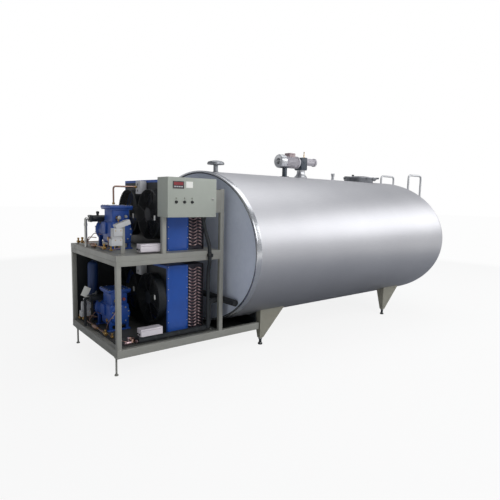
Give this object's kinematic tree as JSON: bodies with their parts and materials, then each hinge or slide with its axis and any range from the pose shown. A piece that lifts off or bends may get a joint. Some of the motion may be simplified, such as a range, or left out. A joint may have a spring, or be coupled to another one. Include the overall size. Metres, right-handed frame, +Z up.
{
  "type": "bulk milk cooling tank with refrigeration rack",
  "caption": "Horizontal oval stainless milk cooling tank on legs, with agitator, manway and ladder, and a rack of air-cooled condensing units with a control box.",
  "frame": {"origin": "on the floor, under the middle of the whole object", "axes": "+X along the tank towards its domed end, -Y towards the side with the control box, +Z up"},
  "size_m": [5.4877, 2.244, 2.296],
  "materials": {
    "brushed_stainless": "brushed",
    "polished_stainless": "polished",
    "end_sheet": "matt rolled sheet",
    "grey_paint": "satin",
    "blue_paint": "gloss",
    "black_paint": "satin",
    "box_paint": "fine texture",
    "white_plastic": "satin",
    "black_foam": "matt",
    "copper": "bright",
    "fin_aluminium": "finned",
    "slate_paint": "satin"
  },
  "bodies": {
    "frame": {"shell_far_upper": "brushed_stainless", "shell_top_front": "brushed_stainless", "shell_top_manway": "brushed_stainless", "shell_top_rear": "brushed_stainless", "shell_near_upper": "brushed_stainless", "shell_near_lower": "brushed_stainless", "shell_bottom": "brushed_stainless", "shell_far_lower": "brushed_stainless", "rear_dome": "brushed_stainless", "manway_neck": "brushed_stainless", "vent": "brushed_stainless", "nozzle": "brushed_stainless", "ladder": "brushed_stainless", "agitator_motor": "brushed_stainless", "front_rim": "polished_stainless", "front_end": "end_sheet", "leg_front_near": "grey_paint", "leg_front_far": "grey_paint", "leg_rear_near": "grey_paint", "leg_rear_far": "grey_paint", "rail_low_near": "grey_paint", "rail_low_far": "grey_paint", "cross_low_front": "grey_paint", "cross_mid_front": "grey_paint", "rail_mid_near": "grey_paint", "rail_mid_far": "grey_paint", "base_low": "grey_paint", "base_up": "grey_paint", "box_post": "grey_paint", "box_bracket": "grey_paint", "housing_low": "blue_paint", "housing_up": "blue_paint", "compressor_low": "blue_paint", "compressor_up": "blue_paint", "oil_separator": "blue_paint", "rack_tray": "black_paint", "cross_low_rear": "black_paint", "side_panel_far": "black_paint", "fan_wall_low": "black_paint", "fan_wall_up": "black_paint", "guard_low_near": "black_paint", "guard_low_far": "black_paint", "guard_up_near": "black_paint", "guard_up_far": "black_paint", "box_body": "box_paint", "junction_low": "white_plastic", "junction_up": "white_plastic", "header_pipe": "black_foam", "suction_line": "black_foam", "discharge_pipe": "copper", "coil_low": "fin_aluminium", "coil_up": "fin_aluminium", "agitator_drive": "slate_paint"},
    "door": {"box_door": "box_paint"},
    "lid": {"manway_lid": "brushed_stainless"},
    "fan_low_near_rotor": {"fan_low_near": "black_paint"},
    "fan_low_far_rotor": {"fan_low_far": "black_paint"},
    "fan_up_near_rotor": {"fan_up_near": "black_paint"},
    "fan_up_far_rotor": {"fan_up_far": "black_paint"}
  },
  "joints": [
    {"name": "door_hinge", "type": "hinge", "parent": "frame", "child": "door", "pos_m": [-2.29675, -0.7226, 1.6375], "axis": [0, 0, -1], "range_deg": [0, 110]},
    {"name": "lid_hinge", "type": "hinge", "parent": "frame", "child": "lid", "pos_m": [1.62071, -0.16347, 1.998], "axis": [0.5736, 0.8192, 0], "range_deg": [0, 100]},
    {"name": "fan_low_near_spin", "type": "hinge", "parent": "frame", "child": "fan_low_near_rotor", "pos_m": [-2.13675, -0.25, 0.6171], "axis": [1, 0, 0], "continuous": true},
    {"name": "fan_low_far_spin", "type": "hinge", "parent": "frame", "child": "fan_low_far_rotor", "pos_m": [-2.13675, 0.25, 0.6171], "axis": [1, 0, 0], "continuous": true},
    {"name": "fan_up_near_spin", "type": "hinge", "parent": "frame", "child": "fan_up_near_rotor", "pos_m": [-2.13675, -0.25, 1.4611], "axis": [1, 0, 0], "continuous": true},
    {"name": "fan_up_far_spin", "type": "hinge", "parent": "frame", "child": "fan_up_far_rotor", "pos_m": [-2.13675, 0.25, 1.4611], "axis": [1, 0, 0], "continuous": true}
  ]
}
